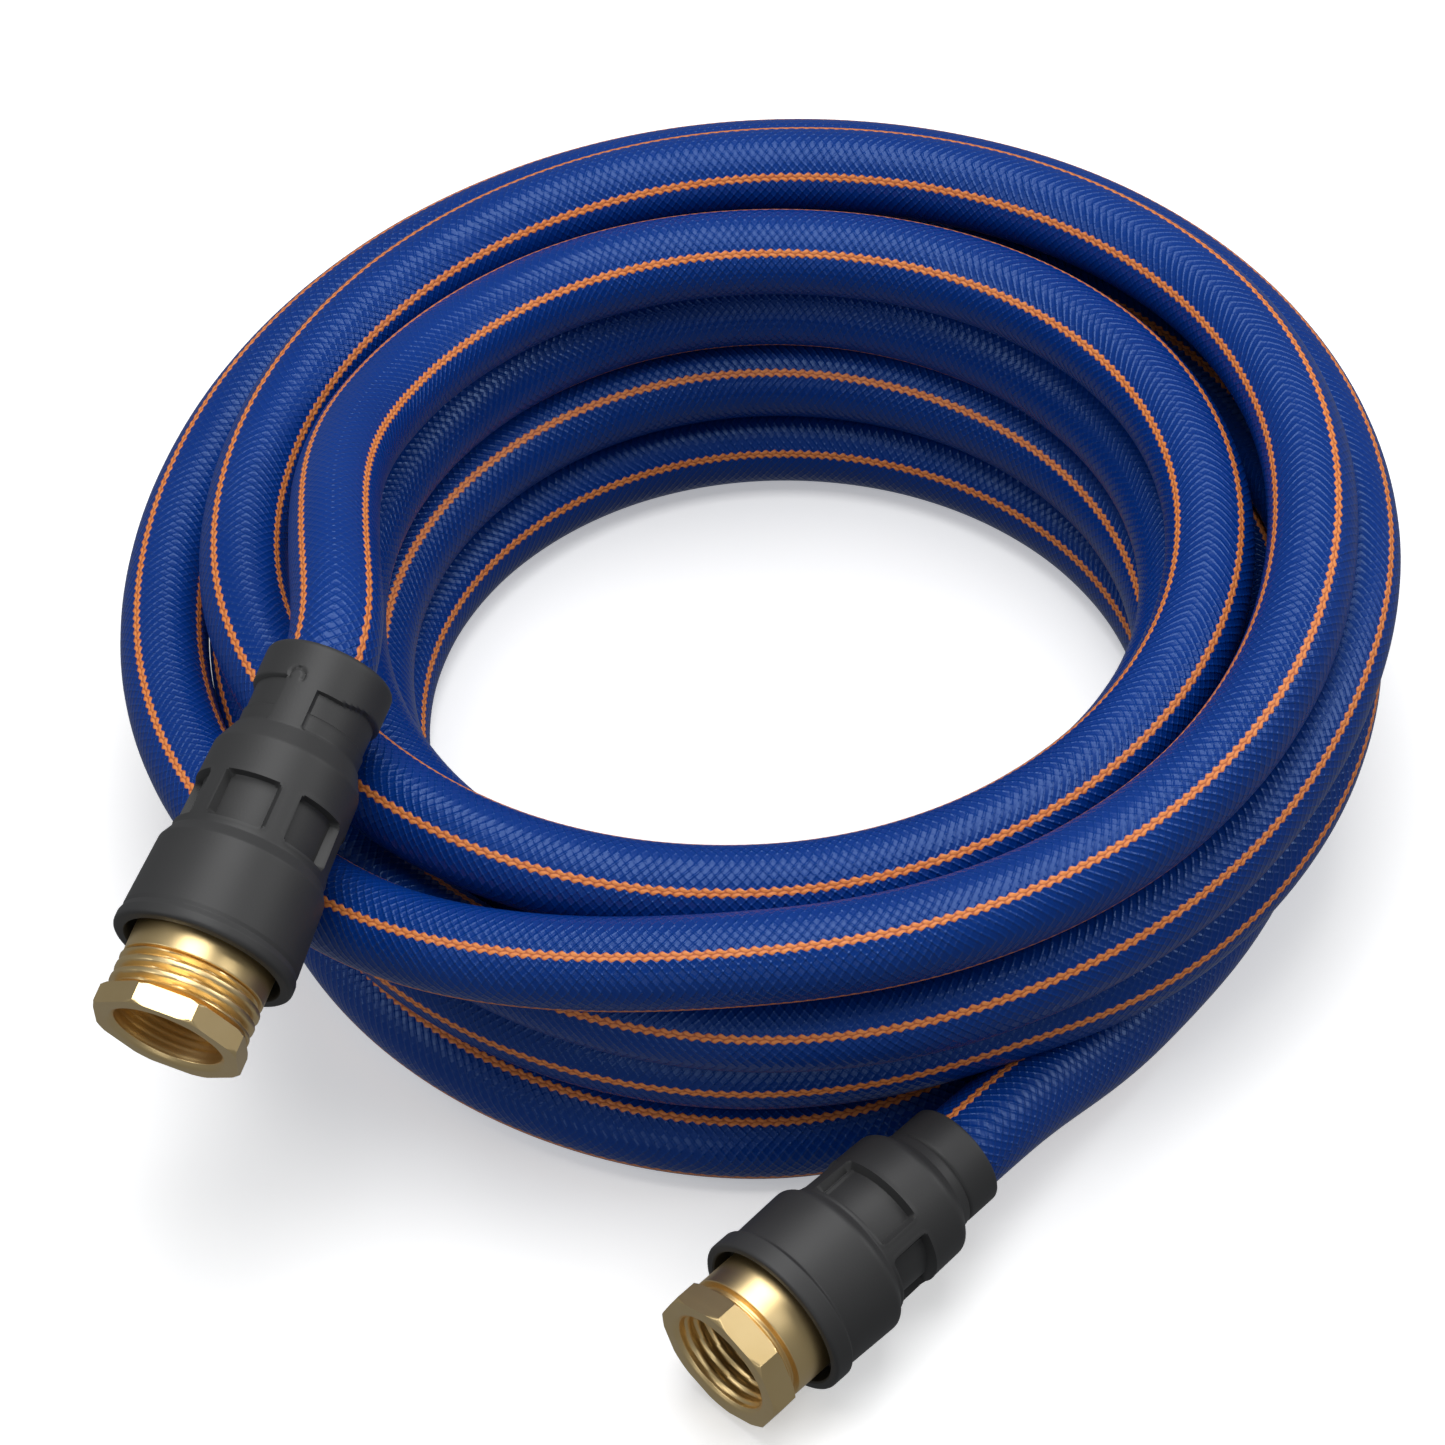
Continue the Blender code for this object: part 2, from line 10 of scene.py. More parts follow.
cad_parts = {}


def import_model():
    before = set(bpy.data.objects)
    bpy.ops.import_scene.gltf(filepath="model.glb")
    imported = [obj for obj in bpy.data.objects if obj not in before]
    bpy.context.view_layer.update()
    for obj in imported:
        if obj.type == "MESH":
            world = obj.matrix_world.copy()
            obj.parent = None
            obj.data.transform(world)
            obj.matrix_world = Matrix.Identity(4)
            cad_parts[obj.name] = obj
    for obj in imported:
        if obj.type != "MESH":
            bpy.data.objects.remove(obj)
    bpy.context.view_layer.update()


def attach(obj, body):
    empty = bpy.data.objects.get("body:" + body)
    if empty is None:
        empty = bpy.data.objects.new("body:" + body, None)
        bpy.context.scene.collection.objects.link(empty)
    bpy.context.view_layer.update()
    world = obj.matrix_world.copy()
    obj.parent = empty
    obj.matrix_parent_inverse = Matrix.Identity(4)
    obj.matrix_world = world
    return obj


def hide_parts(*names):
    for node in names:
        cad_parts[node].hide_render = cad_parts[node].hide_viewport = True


MM = 0.001

# The coil's centre on the floor, and the hose
COIL_CENTRE = np.array((0.62, 25.0, 0.0)) * MM
HOSE_RADIUS = 8.5 * MM
HOSE_SIDES = 40
RING_SPACING = 2.3 * MM
KNOT_SPACING = 5.5 * MM
GRIP_HOLD = 14.0 * MM

# The settling: rounds, knots held at each end, and how many knots apart two stretches of hose
# have to be along the hose before they push each other
SETTLE_ROUNDS = 260
HELD_KNOTS = 7
NEAR_KNOTS = 9

# The hose's print: lengths of one thread and of one tooth, and places around for a line
THREAD_LENGTH = 1.85 * MM
TOOTH_LENGTH = 1.95 * MM
LINE_PLACES = 4.0
PLACE_WIDTH = 13.35

# The fittings: the centre of each grip's mouth from the coil's centre, how the axis points, and
# the angle about that axis from which its windows and corners are placed
FEMALE_MOUTH = np.array((31.01, -116.545, 18.666)) * MM
FEMALE_HEADING = math.radians(-136.6)
FEMALE_DIP = math.radians(2.3)
FEMALE_FACING = math.radians(153.4)
MALE_MOUTH = np.array((-78.899, -51.63, 84.03)) * MM
MALE_HEADING = math.radians(-113.7)
MALE_DIP = math.radians(15.3)
MALE_FACING = math.radians(158.8)

# Turned pieces, in millimetres from the mouth: (number, start, end) of the windows and
# (start, end, pitch) of the threads
MALE_WINDOWS = (6, 29.3, 38.7)
FEMALE_WINDOWS = (4, 20.8, 29.2)
MALE_THREAD = (64.6, 72.2, 2.35)
MALE_BORE_THREAD = (66.3, 74.8, 1.4)
NUT_THREAD = (51.0, 61.6, 2.2)
GRIP_COLUMNS = 264
MALE_FITTING_COLUMNS = 232
NUT_COLUMNS = 240

# Angle around the coil at which the hose's line starts, inside the female grip
LINE_START = math.radians(-75.0)

# Soft boxes: name, place, aim, size both ways in metres, and watts
SOFT_BOXES = (
    ("top_box", (0.0, 0.18, 1.2), (0.0, 0.0, 0.0), (0.8, 1.15), 12.0),
    ("left_box", (-1.1, -0.3, 0.9), (0.0, 0.0, 0.05), (0.7, 0.7), 3.2),
    ("right_box", (1.1, 0.1, 0.8), (0.0, 0.0, 0.05), (0.6, 0.6), 4.5),
    ("front_card", (-0.15, -1.3, 0.42), (0.0, 0.0, 0.05), (1.1, 0.4), 1.6),
)
FLOOR_REACH = 3.0

# The camera, from the coil's centre
CAMERA_PLACE = Vector((-8.91, -707.64, 803.89)) * MM
CAMERA_DOWN = math.radians(48.38)
CAMERA_ROLL = math.radians(-2.32)
CAMERA_LENS = 134.34

# Stations of the hose from the female end to the male end: degrees around the coil,
# distance from its axis and height of the hose's own axis, both in millimetres
STATIONS = (
    (-60.3, 106.9, 14.1),
    (-43.4, 101.1, 10.2),
    (-28.5, 100.4, 8.9),
    (-17.8, 101.0, 8.6),
    (0, 100, 8.5),
    (45, 98, 8.5),
    (90, 97, 8.5),
    (180, 96, 8.5),
    (235, 101, 8.5),
    (270, 103.5, 8.5),
    (285, 101, 8.5),
    (300, 93, 8.5),
    (318, 85, 8.5),
    (360, 83, 8.5),
    (450, 77, 8.5),
    (540, 75.5, 8.5),
    (630, 79, 8.5),
    (645, 79, 14),
    (668, 80, 24.5),
    (720, 81, 25.5),
    (810, 79, 25.5),
    (900, 77.5, 25.5),
    (990, 79, 25.5),
    (1005, 79, 31),
    (1028, 80, 41.5),
    (1080, 82, 42.5),
    (1170, 83, 42),
    (1260, 82, 42.5),
    (1350, 83, 42.5),
    (1380, 84, 42.5),
    (1420, 95, 36),
    (1450, 99, 26.5),
    (1530, 96.5, 25.5),
    (1620, 97, 25.5),
    (1710, 102, 26.5),
    (1755, 108, 31),
    (1800, 108.5, 41),
    (1890, 101, 42.5),
    (1980, 99, 42.5),
    (2070, 106, 43.5),
    (2115, 109, 47),
    (2160, 112.5, 56.5),
    (2250, 114, 51.5),
    (2340, 115, 42.5),
    (2385, 111, 49),
    (2430, 105, 62.5),
    (2475, 105.5, 66.5),
    (2520, 104.5, 70),
    (2610, 99.5, 63),
    (2700, 99, 59.5),
    (2745, 93, 60),
    (2790, 88, 60),
    (2880, 85, 63),
    (2970, 80, 59),
    (3006, 80.8, 60),
    (3031.8, 80.2, 64.5),
    (3052.9, 79.8, 73),
    (3067, 80.4, 79),
    (3077, 82.8, 82.2),
)

# How far the hose's lines are turned about its own axis, by degrees around the coil
LINE_TURNS = (
    (-80, 153),
    (-20, 150),
    (190, 26),
    (270, 21),
    (450, 20),
    (810, -2),
    (1170, -93),
    (1440, -65),
    (1710, -37),
    (2070, -12),
    (2430, 14),
    (2610, 13),
    (2790, 3.6),
    (3100, 3.6),
)


# ---------------------------------------------------------------- helpers


def unit(vector):
    """The vector at length one."""
    return vector / np.linalg.norm(vector)


def end_matrix(mouth, heading, dip):
    """Frame at a grip's mouth with +Z along the fitting, away from the hose."""
    return (
        Matrix.Translation(Vector(COIL_CENTRE + mouth))
        @ Matrix.Rotation(heading, 4, "Z")
        @ Matrix.Rotation(math.pi / 2.0 + dip, 4, "Y")
    )


def smoothstep(low, high, value):
    """Soft step from 0 at low to 1 at high."""
    t = np.clip((value - low) / (high - low), 0.0, 1.0)
    return t * t * (3.0 - 2.0 * t)


def cubic_through(xs, ys, at):
    """Smooth curve through stations, with slopes that don't overshoot."""
    xs = np.asarray(xs, float)
    ys = np.asarray(ys, float)
    widths = np.diff(xs)
    rates = np.diff(ys) / widths
    slopes = np.zeros(len(xs))
    slopes[0] = rates[0]
    slopes[-1] = rates[-1]
    for i in range(1, len(xs) - 1):
        if rates[i - 1] * rates[i] > 0.0:
            w1 = 2.0 * widths[i] + widths[i - 1]
            w2 = widths[i] + 2.0 * widths[i - 1]
            slopes[i] = (w1 + w2) / (w1 / rates[i - 1] + w2 / rates[i])
    k = np.clip(np.searchsorted(xs, at) - 1, 0, len(widths) - 1)
    t = (at - xs[k]) / widths[k]
    return (
        ys[k] * (2 * t**3 - 3 * t**2 + 1)
        + ys[k + 1] * (3 * t**2 - 2 * t**3)
        + slopes[k] * widths[k] * (t**3 - 2 * t**2 + t)
        + slopes[k + 1] * widths[k] * (t**3 - t**2)
    )


def resample(points, spacing):
    """Points at even steps along a line."""
    steps = np.linalg.norm(np.diff(points, axis=0), axis=1)
    along = np.concatenate(([0.0], np.cumsum(steps)))
    count = int(round(along[-1] / spacing)) + 1
    at = np.linspace(0.0, along[-1], count)
    return np.column_stack([np.interp(at, along, points[:, i]) for i in range(3)])


def smooth_line(points, rounds):
    """Even out small kinks, with the ends kept."""
    line = points.copy()
    for _ in range(rounds):
        line[1:-1] += 0.25 * (line[:-2] - 2.0 * line[1:-1] + line[2:])
    return line


# ---------------------------------------------------------------- hose line


def first_line(female_axis, male_axis):
    """The hose's axis before its turns have settled on each other."""
    turns = np.array(STATIONS, float)
    degrees = np.arange(turns[0, 0], turns[-1, 0], 1.5)
    radius = cubic_through(turns[:, 0], turns[:, 1], degrees) * MM
    height = cubic_through(turns[:, 0], turns[:, 2], degrees) * MM
    angle = np.radians(degrees)
    coil = np.column_stack((radius * np.cos(angle), radius * np.sin(angle), height))
    run = 3.5 * MM
    start = [FEMALE_MOUTH + female_axis * s for s in (GRIP_HOLD, GRIP_HOLD / 2, 0.0, -run)]
    end = [MALE_MOUTH + male_axis * s for s in (run, GRIP_HOLD / 2, GRIP_HOLD)]
    lead_in = bridge(start[-1], -female_axis, coil[0], unit(coil[1] - coil[0]))
    lead_out = bridge(coil[-1], unit(coil[-1] - coil[-2]), end[0], male_axis)
    line = np.vstack((start, lead_in, coil, lead_out, end))
    return resample(line, KNOT_SPACING)


def bridge(start, start_way, end, end_way):
    """Points of a smooth curve between two points, without the points themselves."""
    reach = np.linalg.norm(end - start)
    t = np.linspace(0.0, 1.0, 10)[1:-1, None]
    return (
        start * (2 * t**3 - 3 * t**2 + 1)
        + end * (3 * t**2 - 2 * t**3)
        + start_way * reach * (t**3 - 2 * t**2 + t)
        + end_way * reach * (t**3 - t**2)
    )


def settle(line):
    """Push turns that lie in each other apart, and keep the hose on the floor and smooth."""
    wanted = line.copy()
    moved = np.zeros_like(line)
    count = len(line)
    index = np.arange(count)
    far_apart = np.abs(index[:, None] - index[None, :]) > NEAR_KNOTS
    free = np.ones(count)
    free[:HELD_KNOTS] = 0.0
    free[-HELD_KNOTS:] = 0.0
    spacing = 2.0 * HOSE_RADIUS
    for _ in range(SETTLE_ROUNDS):
        now = wanted + moved
        squares = (now**2).sum(1)
        apart = squares[:, None] + squares[None, :] - 2.0 * now @ now.T
        first, second = np.nonzero((apart < spacing**2) & far_apart)
        gap = now[first] - now[second]
        size = np.sqrt(np.maximum((gap**2).sum(1), 1e-12))
        push = np.zeros_like(now)
        hits = np.zeros(count)
        np.add.at(push, first, gap * ((spacing - size) / size * 0.5)[:, None])
        np.add.at(hits, first, 1.0)
        push /= np.maximum(hits, 1.0)[:, None] ** 0.5
        moved += push * 0.5 * free[:, None]
        inner = moved[1:-1] + 0.22 * (moved[:-2] - 2.0 * moved[1:-1] + moved[2:])
        moved[1:-1] = inner * free[1:-1, None]
        moved *= 0.996
        low = HOSE_RADIUS - (wanted[:, 2] + moved[:, 2])
        moved[:, 2] += np.maximum(low, 0.0) * free
    return wanted + moved


def hose_frames(line):
    """Outward and upward side of the hose at each point of its line."""
    ahead = np.gradient(line, axis=0)
    ahead /= np.linalg.norm(ahead, axis=1)[:, None]
    out = np.cross(ahead, np.array((0.0, 0.0, 1.0)))
    out /= np.linalg.norm(out, axis=1)[:, None]
    return out, np.cross(out, ahead)


def degrees_around(line):
    """Degrees around the coil at each point, counted on from turn to turn."""
    angle = np.unwrap(np.arctan2(line[:, 1], line[:, 0]))
    return np.degrees(angle - angle[0] + LINE_START)


def build_hose(line, material):
    """The hose's skin: one closed tube whose mesh columns run along its printed lines."""
    out, up = hose_frames(line)
    turn = np.radians(cubic_through(*np.array(LINE_TURNS, float).T, degrees_around(line)))
    steps = np.linalg.norm(np.diff(line, axis=0), axis=1)
    along = np.concatenate(([0.0], np.cumsum(steps)))
    side = 2.0 * math.pi * np.arange(HOSE_SIDES) / HOSE_SIDES
    phi = turn[:, None] + side[None, :]
    spread = out[:, None, :] * np.cos(phi)[..., None] + up[:, None, :] * np.sin(phi)[..., None]
    rings = line[:, None, :] + spread * HOSE_RADIUS
    verts = rings.reshape(-1, 3) + COIL_CENTRE
    faces = []
    uvs = []
    for i in range(len(line) - 1):
        for j in range(HOSE_SIDES):
            k = (j + 1) % HOSE_SIDES
            a, b = i * HOSE_SIDES, (i + 1) * HOSE_SIDES
            faces.append((a + j, a + k, b + k, b + j))
            u0, u1 = j / HOSE_SIDES, (j + 1) / HOSE_SIDES
            v0, v1 = along[i], along[i + 1]
            uvs += ((u0, v0), (u1, v0), (u1, v1), (u0, v1))
    last = (len(line) - 1) * HOSE_SIDES
    faces.append(tuple(range(HOSE_SIDES))[::-1])
    faces.append(tuple(last + j for j in range(HOSE_SIDES)))
    uvs += [(0.0, 0.0)] * (2 * HOSE_SIDES)
    return mesh_piece("hose", verts, faces, material, uvs)


def mesh_piece(name, verts, faces, material, uvs=None, matrix=None):
    """A smooth mesh object with its material and its map."""
    mesh = bpy.data.meshes.new(name)
    mesh.from_pydata([tuple(v) for v in verts], [], faces)
    if uvs is not None:
        layer = mesh.uv_layers.new(name="UVMap")
        layer.data.foreach_set("uv", np.array(uvs, dtype=np.float32).ravel())
    mesh.materials.append(material)
    mesh.validate()
    shape = bmesh.new()
    shape.from_mesh(mesh)
    bmesh.ops.recalc_face_normals(shape, faces=shape.faces)
    shape.to_mesh(mesh)
    shape.free()
    mesh.shade_smooth()
    obj = bpy.data.objects.new(name, mesh)
    bpy.context.scene.collection.objects.link(obj)
    if matrix is not None:
        obj.matrix_world = matrix
    return obj


# ---------------------------------------------------------------- turned pieces


def outline(corners, spacing):
    """Points along a line of (radius, station, fillet) corners, at most a spacing apart."""
    points = [np.array(corners[0][:2], float)]
    for i in range(1, len(corners) - 1):
        before = np.array(corners[i - 1][:2], float)
        here = np.array(corners[i][:2], float)
        after = np.array(corners[i + 1][:2], float)
        fillet = corners[i][2]
        into = unit(here - before)
        away = unit(after - here)
        turn = math.acos(max(-1.0, min(1.0, float(into @ away))))
        if fillet <= 0.0 or turn < 0.02:
            points.append(here)
            continue
        cut = min(
            fillet * math.tan(turn / 2.0),
            0.48 * np.linalg.norm(here - before),
            0.48 * np.linalg.norm(after - here),
        )
        a, b = here - into * cut, here + away * cut
        for t in np.linspace(0.0, 1.0, 6):
            points.append(a * (1 - t) ** 2 + here * 2 * t * (1 - t) + b * t**2)
    points.append(np.array(corners[-1][:2], float))
    full = [points[0]]
    for point in points[1:]:
        last = full[-1]
        gap = np.linalg.norm(point - last)
        if gap < 1e-6:
            continue
        steps = int(math.ceil(gap / spacing))
        for k in range(1, steps + 1):
            full.append(last + (point - last) * (k / steps))
    return np.array(full)


def lathe(name, outer, inner, columns, radius_at, matrix, material, first=0.0):
    """A turned closed piece: the outer line runs nose to mouth, the inner line back.

    radius_at(radius, station, phi, is_outer) gives the radius of each point in millimetres.
    """
    line = np.vstack((outer, inner))
    is_outer = np.zeros(len(line), bool)
    is_outer[: len(outer)] = True
    phi = first + 2.0 * math.pi * np.arange(columns) / columns
    radius = radius_at(line[:, 0][:, None], line[:, 1][:, None], phi[None, :], is_outer[:, None])
    x = radius * np.cos(phi)[None, :]
    y = radius * np.sin(phi)[None, :]
    z = np.broadcast_to(line[:, 1][:, None], x.shape)
    verts = np.stack((x, y, z), axis=-1).reshape(-1, 3) * MM
    steps = np.linalg.norm(np.diff(line, axis=0, append=line[:1]), axis=1)
    along = np.concatenate(([0.0], np.cumsum(steps))) * MM
    rows = len(line)
    faces = []
    uvs = []
    for i in range(rows):
        n = (i + 1) % rows
        for j in range(columns):
            k = (j + 1) % columns
            faces.append(
                (i * columns + j, n * columns + j, n * columns + k, i * columns + k)
            )
            u0, u1 = j / columns, (j + 1) / columns
            uvs += ((u0, along[i]), (u0, along[i + 1]), (u1, along[i + 1]), (u1, along[i]))
    obj = mesh_piece(name, verts, faces, material, uvs, matrix)
    obj.data.set_sharp_from_angle(angle=math.radians(38.0))
    return obj


def wrapped(angle):
    """An angle between -180 and 180 degrees, in radians."""
    return (angle + math.pi) % (2.0 * math.pi) - math.pi


def pocket(radius, station, phi, centre, half_width, low, high, corner):
    """Distance in millimetres outside a rounded window that is centred on an angle."""
    across = np.abs(radius * wrapped(phi - centre)) - half_width + corner
    along = np.abs(station - (low + high) / 2.0) - (high - low) / 2.0 + corner
    outside = np.hypot(np.maximum(across, 0.0), np.maximum(along, 0.0))
    return outside + np.minimum(np.maximum(across, along), 0.0) - corner


def octagon(phi, apothem, first):
    """Radius of an eight-sided outline with a corner at the first angle."""
    side = 2.0 * math.pi / 8.0
    offset = (phi - first) % side - side / 2.0
    return apothem / np.cos(offset)


# ---------------------------------------------------------------- materials


def new_material(name):
    """A node material with only its output and Principled shader."""
    material = bpy.data.materials.new(name)
    material.use_nodes = True
    return material, material.node_tree, material.node_tree.nodes["Principled BSDF"]


class Maths:
    """Short way to chain math nodes in one tree."""

    def __init__(self, tree):
        self.tree = tree

    def do(self, operation, first, second=None, third=None):
        """One math node."""
        node = self.tree.nodes.new("ShaderNodeMath")
        node.operation = operation
        for i, value in enumerate((first, second, third)):
            if value is None:
                continue
            if isinstance(value, (int, float)):
                node.inputs[i].default_value = value
            else:
                self.tree.links.new(value, node.inputs[i])
        return node.outputs[0]

    def step(self, value, low, high):
        """Soft step from 0 at low to 1 at high."""
        node = self.tree.nodes.new("ShaderNodeMapRange")
        node.interpolation_type = "SMOOTHSTEP"
        node.inputs["From Min"].default_value = low
        node.inputs["From Max"].default_value = high
        self.tree.links.new(value, node.inputs["Value"])
        return node.outputs["Result"]

    def noise(self, vector, scale, detail=2.0, roughness=0.5):
        """Noise between 0 and 1."""
        node = self.tree.nodes.new("ShaderNodeTexNoise")
        node.inputs["Scale"].default_value = scale
        node.inputs["Detail"].default_value = detail
        node.inputs["Roughness"].default_value = roughness
        self.tree.links.new(vector, node.inputs["Vector"])
        return node.outputs["Fac"]

    def mix(self, share, first, second):
        """Colour between two colours."""
        node = self.tree.nodes.new("ShaderNodeMix")
        node.data_type = "RGBA"
        sockets = [s for s in node.inputs if s.type == "RGBA"]
        for socket, value in zip(sockets, (first, second)):
            if isinstance(value, tuple):
                socket.default_value = (*value, 1.0)
            else:
                self.tree.links.new(value, socket)
        if isinstance(share, (int, float)):
            node.inputs[0].default_value = share
        else:
            self.tree.links.new(share, node.inputs[0])
        return [s for s in node.outputs if s.type == "RGBA"][0]

    def bump(self, height, distance, strength=1.0):
        """Surface normal from a height."""
        node = self.tree.nodes.new("ShaderNodeBump")
        node.inputs["Distance"].default_value = distance
        node.inputs["Strength"].default_value = strength
        self.tree.links.new(height, node.inputs["Height"])
        return node.outputs["Normal"]

    def combine(self, x, y, z=0.0):
        """Vector from three values."""
        node = self.tree.nodes.new("ShaderNodeCombineXYZ")
        for i, value in enumerate((x, y, z)):
            if isinstance(value, (int, float)):
                node.inputs[i].default_value = value
            else:
                self.tree.links.new(value, node.inputs[i])
        return node.outputs[0]


def map_parts(tree):
    """The two values of a piece's map: around and along."""
    coordinate = tree.nodes.new("ShaderNodeTexCoord")
    split = tree.nodes.new("ShaderNodeSeparateXYZ")
    tree.links.new(coordinate.outputs["UV"], split.inputs[0])
    return split.outputs[0], split.outputs[1], coordinate.outputs["Object"]


def hose_material():
    """Blue plastic over a braided sleeve, with woven-looking orange lines."""
    material, tree, shader = new_material("hose_blue")
    m = Maths(tree)
    around, along, where = map_parts(tree)
    # Each quarter has a place for a line at its centre; across is in millimetres from there
    from_line = m.do("SUBTRACT", m.do("FRACT", m.do("MULTIPLY", around, LINE_PLACES)), 0.5)
    across = m.do("MULTIPLY", from_line, PLACE_WIDTH)
    arm = m.do("MULTIPLY", m.do("ABSOLUTE", from_line), 2.0)
    # Two families of thin threads under the skin, which lean away from the middle
    rows = m.do("MULTIPLY", along, 1.0 / THREAD_LENGTH)
    lean = m.do("MULTIPLY", m.do("POWER", m.do("SUBTRACT", 1.0, arm), 1.15), 3.2)
    shift = m.do("MULTIPLY", m.do("SUBTRACT", m.noise(where, 120.0, 1.0), 0.5), 0.7)
    ridges = []
    for operation in ("ADD", "SUBTRACT"):
        phase = m.do("ADD", m.do(operation, rows, lean), shift)
        wave = m.do("COSINE", m.do("MULTIPLY", phase, 2.0 * math.pi))
        ridges.append(m.do("POWER", m.do("MULTIPLY_ADD", wave, 0.5, 0.5), 3.6))
    second = m.do("MULTIPLY_ADD", m.step(m.noise(where, 22.0, 1.0), 0.38, 0.62), 0.6, 0.3)
    knots = m.do("MULTIPLY", ridges[0], ridges[1])
    knit = m.do("MULTIPLY_ADD", ridges[1], second, ridges[0])
    knit = m.do("MULTIPLY_ADD", knots, 0.5, knit)
    uneven = m.do("MULTIPLY_ADD", m.noise(where, 260.0, 2.0), 1.1, 0.35)
    knit = m.do("MULTIPLY", knit, uneven)
    # Creases of the orange lines: two rows of leaning lobes, half a lobe apart
    lobes = []
    for side, start in ((1.0, 0.0), (-1.0, 0.5)):
        place = m.do("SUBTRACT", across, 0.42 * side)
        step_on = m.do("MULTIPLY_ADD", place, 0.26 * side, start)
        turn = m.do("ADD", m.do("MULTIPLY", along, 1.0 / TOOTH_LENGTH), step_on)
        lengthwise = m.do("DIVIDE", m.do("SUBTRACT", m.do("FRACT", turn), 0.5), 0.535)
        sideways = m.do("DIVIDE", place, 0.53)
        lengthwise = m.do("MULTIPLY", lengthwise, lengthwise)
        sideways = m.do("MULTIPLY", sideways, sideways)
        lobes.append(m.do("SQRT", m.do("ADD", lengthwise, sideways)))
    lobe = m.do("MINIMUM", lobes[0], lobes[1])
    ragged = m.do("MULTIPLY", m.do("SUBTRACT", m.noise(where, 900.0, 1.0), 0.5), 0.3)
    lobe = m.do("ADD", lobe, ragged)
    # The third quarter has no line. A line is a ribbon that swings from side to side
    bare = m.do("MULTIPLY", m.step(around, 0.4995, 0.5005), m.step(around, 0.7505, 0.7495))
    swing = m.do("PINGPONG", m.do("MULTIPLY_ADD", along, 2.0 / TOOTH_LENGTH, 0.5), 1.0)
    swing = m.do("MULTIPLY", m.do("SUBTRACT", m.step(swing, -0.1, 1.1), 0.5), 0.56)
    ribbon = m.do("ABSOLUTE", m.do("SUBTRACT", across, swing))
    ribbon = m.do("ADD", ribbon, m.do("MULTIPLY", ragged, 0.5))
    painted = m.do("SUBTRACT", 1.0, m.step(ribbon, 0.64, 0.78))
    line = m.do("MULTIPLY", painted, m.do("SUBTRACT", 1.0, bare))
    crease_shade = m.step(lobe, 0.55, 0.98)
    patch = m.noise(where, 26.0, 2.0)
    blue = m.mix(patch, (0.0002, 0.025, 0.19), (0.0006, 0.035, 0.245))
    # The knit's ridges are painted a lighter blue: painted highlight flecks on the threads
    blue = m.mix(m.do("MULTIPLY", knit, 0.07), blue, (0.02, 0.11, 0.40))
    orange = m.mix(m.noise(where, 380.0, 2.0), (0.80, 0.235, 0.05), (0.95, 0.35, 0.095))
    # The creases between the lobes are painted dark red: painted shade in the creases of the orange
    # lines
    orange = m.mix(m.do("MULTIPLY", crease_shade, 0.7), orange, (0.34, 0.05, 0.012))
    tree.links.new(m.mix(line, blue, orange), shader.inputs["Base Color"])
    rough = m.do("MULTIPLY_ADD", line, 0.22, 0.29)
    rough = m.do("MULTIPLY_ADD", m.do("SUBTRACT", patch, 0.5), 0.12, rough)
    tree.links.new(rough, shader.inputs["Roughness"])
    weave = m.do("MULTIPLY", m.do("SUBTRACT", 1.0, line), knit)
    cord = m.do("MULTIPLY", line, m.do("SUBTRACT", 1.5, lobe))
    fine = m.do("MULTIPLY", m.noise(where, 1500.0, 2.0), 0.10)
    height = m.do("ADD", m.do("ADD", weave, cord), fine)
    tree.links.new(m.bump(height, 0.13 * MM, 0.85), shader.inputs["Normal"])
    shader.inputs["Specular IOR Level"].default_value = 0.5
    shader.inputs["Specular Tint"].default_value = (0.45, 0.66, 1.0, 1.0)
    return material


def grip_material():
    """Charcoal moulded plastic with a fine grain."""
    material, tree, shader = new_material("grip_charcoal")
    m = Maths(tree)
    _, _, where = map_parts(tree)
    cloud = m.noise(where, 60.0, 3.0)
    charcoal = m.mix(cloud, (0.029, 0.029, 0.0295), (0.038, 0.038, 0.0385))
    tree.links.new(charcoal, shader.inputs["Base Color"])
    grain = m.noise(where, 2600.0, 2.0)
    rough = m.do("MULTIPLY_ADD", m.do("SUBTRACT", cloud, 0.5), 0.1, 0.52)
    tree.links.new(rough, shader.inputs["Roughness"])
    tree.links.new(m.bump(grain, 0.03 * MM, 0.5), shader.inputs["Normal"])
    shader.inputs["Specular IOR Level"].default_value = 0.42
    return material


def brass_material():
    """Turned brass: fine rings from the tool and a little unevenness."""
    material, tree, shader = new_material("brass_turned")
    m = Maths(tree)
    around, along, where = map_parts(tree)
    stretched = m.combine(m.do("MULTIPLY", around, 3.0), m.do("MULTIPLY", along, 9000.0))
    rings = m.noise(stretched, 1.0, 3.0, 0.6)
    cloud = m.noise(where, 120.0, 3.0)
    gold = m.mix(cloud, (0.83, 0.60, 0.27), (0.95, 0.74, 0.40))
    tree.links.new(gold, shader.inputs["Base Color"])
    shader.inputs["Metallic"].default_value = 1.0
    rough = m.do("MULTIPLY_ADD", rings, 0.12, 0.30)
    tree.links.new(rough, shader.inputs["Roughness"])
    tree.links.new(m.bump(rings, 0.015 * MM, 0.4), shader.inputs["Normal"])
    return material


def washer_material():
    """Black rubber."""
    material, tree, shader = new_material("washer_black")
    m = Maths(tree)
    _, _, where = map_parts(tree)
    cloud = m.noise(where, 300.0, 3.0)
    black = m.mix(cloud, (0.010, 0.010, 0.011), (0.020, 0.020, 0.021))
    tree.links.new(black, shader.inputs["Base Color"])
    shader.inputs["Roughness"].default_value = 0.65
    tree.links.new(m.bump(m.noise(where, 1800.0), 0.04 * MM, 0.5), shader.inputs["Normal"])
    return material


